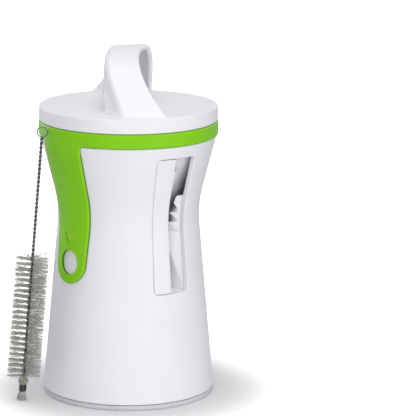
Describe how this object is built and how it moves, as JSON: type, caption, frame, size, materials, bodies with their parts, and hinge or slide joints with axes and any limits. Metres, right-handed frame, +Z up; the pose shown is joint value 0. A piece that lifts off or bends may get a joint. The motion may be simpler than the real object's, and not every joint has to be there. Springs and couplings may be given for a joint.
{
  "type": "spiral vegetable grater",
  "caption": "Hourglass stand with a window, a turning collar that carries a conical drum of comb blades, a cap with a twisted ribbon handle and pins, and a cleaning brush.",
  "frame": {"origin": "centre of the pad's underside, on the axis that the collar turns about", "axes": "+Z up the axis, -Y to the front of the stand, +X to its right, towards the window's side"},
  "size_m": [0.1179, 0.1, 0.1963],
  "materials": {
    "white": "satin gloss",
    "lime": "satin gloss",
    "pad": "matte",
    "steel": "fine brushed",
    "bush": "turned",
    "bristle": "nylon strands",
    "tuft": "matte"
  },
  "bodies": {
    "stand": {"base_plate": "white", "base_screw_1": "steel", "base_screw_2": "steel", "base_screw_3": "steel", "base_screw_4": "steel", "detent_spring": "steel", "non_slip_pad": "pad", "outer_shell": "white", "outlet_guard": "white", "pivot_bush": "bush"},
    "blade_drum": {"blade_clamp_fine": "white", "blade_clamp_medium": "white", "blade_clamp_ribbon": "white", "blade_clamp_wide": "white", "blade_fine": "steel", "blade_medium": "steel", "blade_ribbon": "steel", "blade_wide": "steel", "clamp_screw_fine_tip": "steel", "clamp_screw_fine_top": "steel", "clamp_screw_medium_tip": "steel", "clamp_screw_medium_top": "steel", "clamp_screw_ribbon_tip": "steel", "clamp_screw_ribbon_top": "steel", "clamp_screw_wide_tip": "steel", "clamp_screw_wide_top": "steel", "drum_cone": "white", "retainer_screw": "steel", "retainer_washer": "steel", "selector_collar": "lime"},
    "cap_carrier": {"cap_guide_ring": "white"},
    "cap": {"cap_screw_1": "steel", "cap_screw_2": "steel", "cap_screw_3": "steel", "cap_screw_4": "steel", "holder_cap": "white", "holding_pin_0": "steel", "holding_pin_1": "steel", "holding_pin_2": "steel", "holding_pin_3": "steel", "holding_pin_4": "steel", "holding_pin_5": "steel", "holding_pin_6": "steel", "holding_pin_7": "steel", "holding_pin_8": "steel", "spike_plate": "white"},
    "brush": {"brush_bristles": "bristle", "brush_ferrule": "steel", "brush_stem": "steel", "brush_tail_tuft": "tuft"}
  },
  "joints": [
    {"name": "selector_turn", "type": "hinge", "parent": "stand", "child": "blade_drum", "pos_m": [0, 0, 0], "axis": [0, 0, 1], "range_deg": [-180, 0]},
    {"name": "cap_lift", "type": "slide", "parent": "blade_drum", "child": "cap_carrier", "axis": [0, 0, 1], "range_m": [0, 0.1]},
    {"name": "cap_turn", "type": "hinge", "parent": "cap_carrier", "child": "cap", "pos_m": [0, 0, 0.155], "axis": [0, 0, 1], "continuous": true},
    {"name": "brush_pull", "type": "slide", "parent": "stand", "child": "brush", "axis": [-1, 0, 0], "range_m": [0, 0.1]}
  ]
}
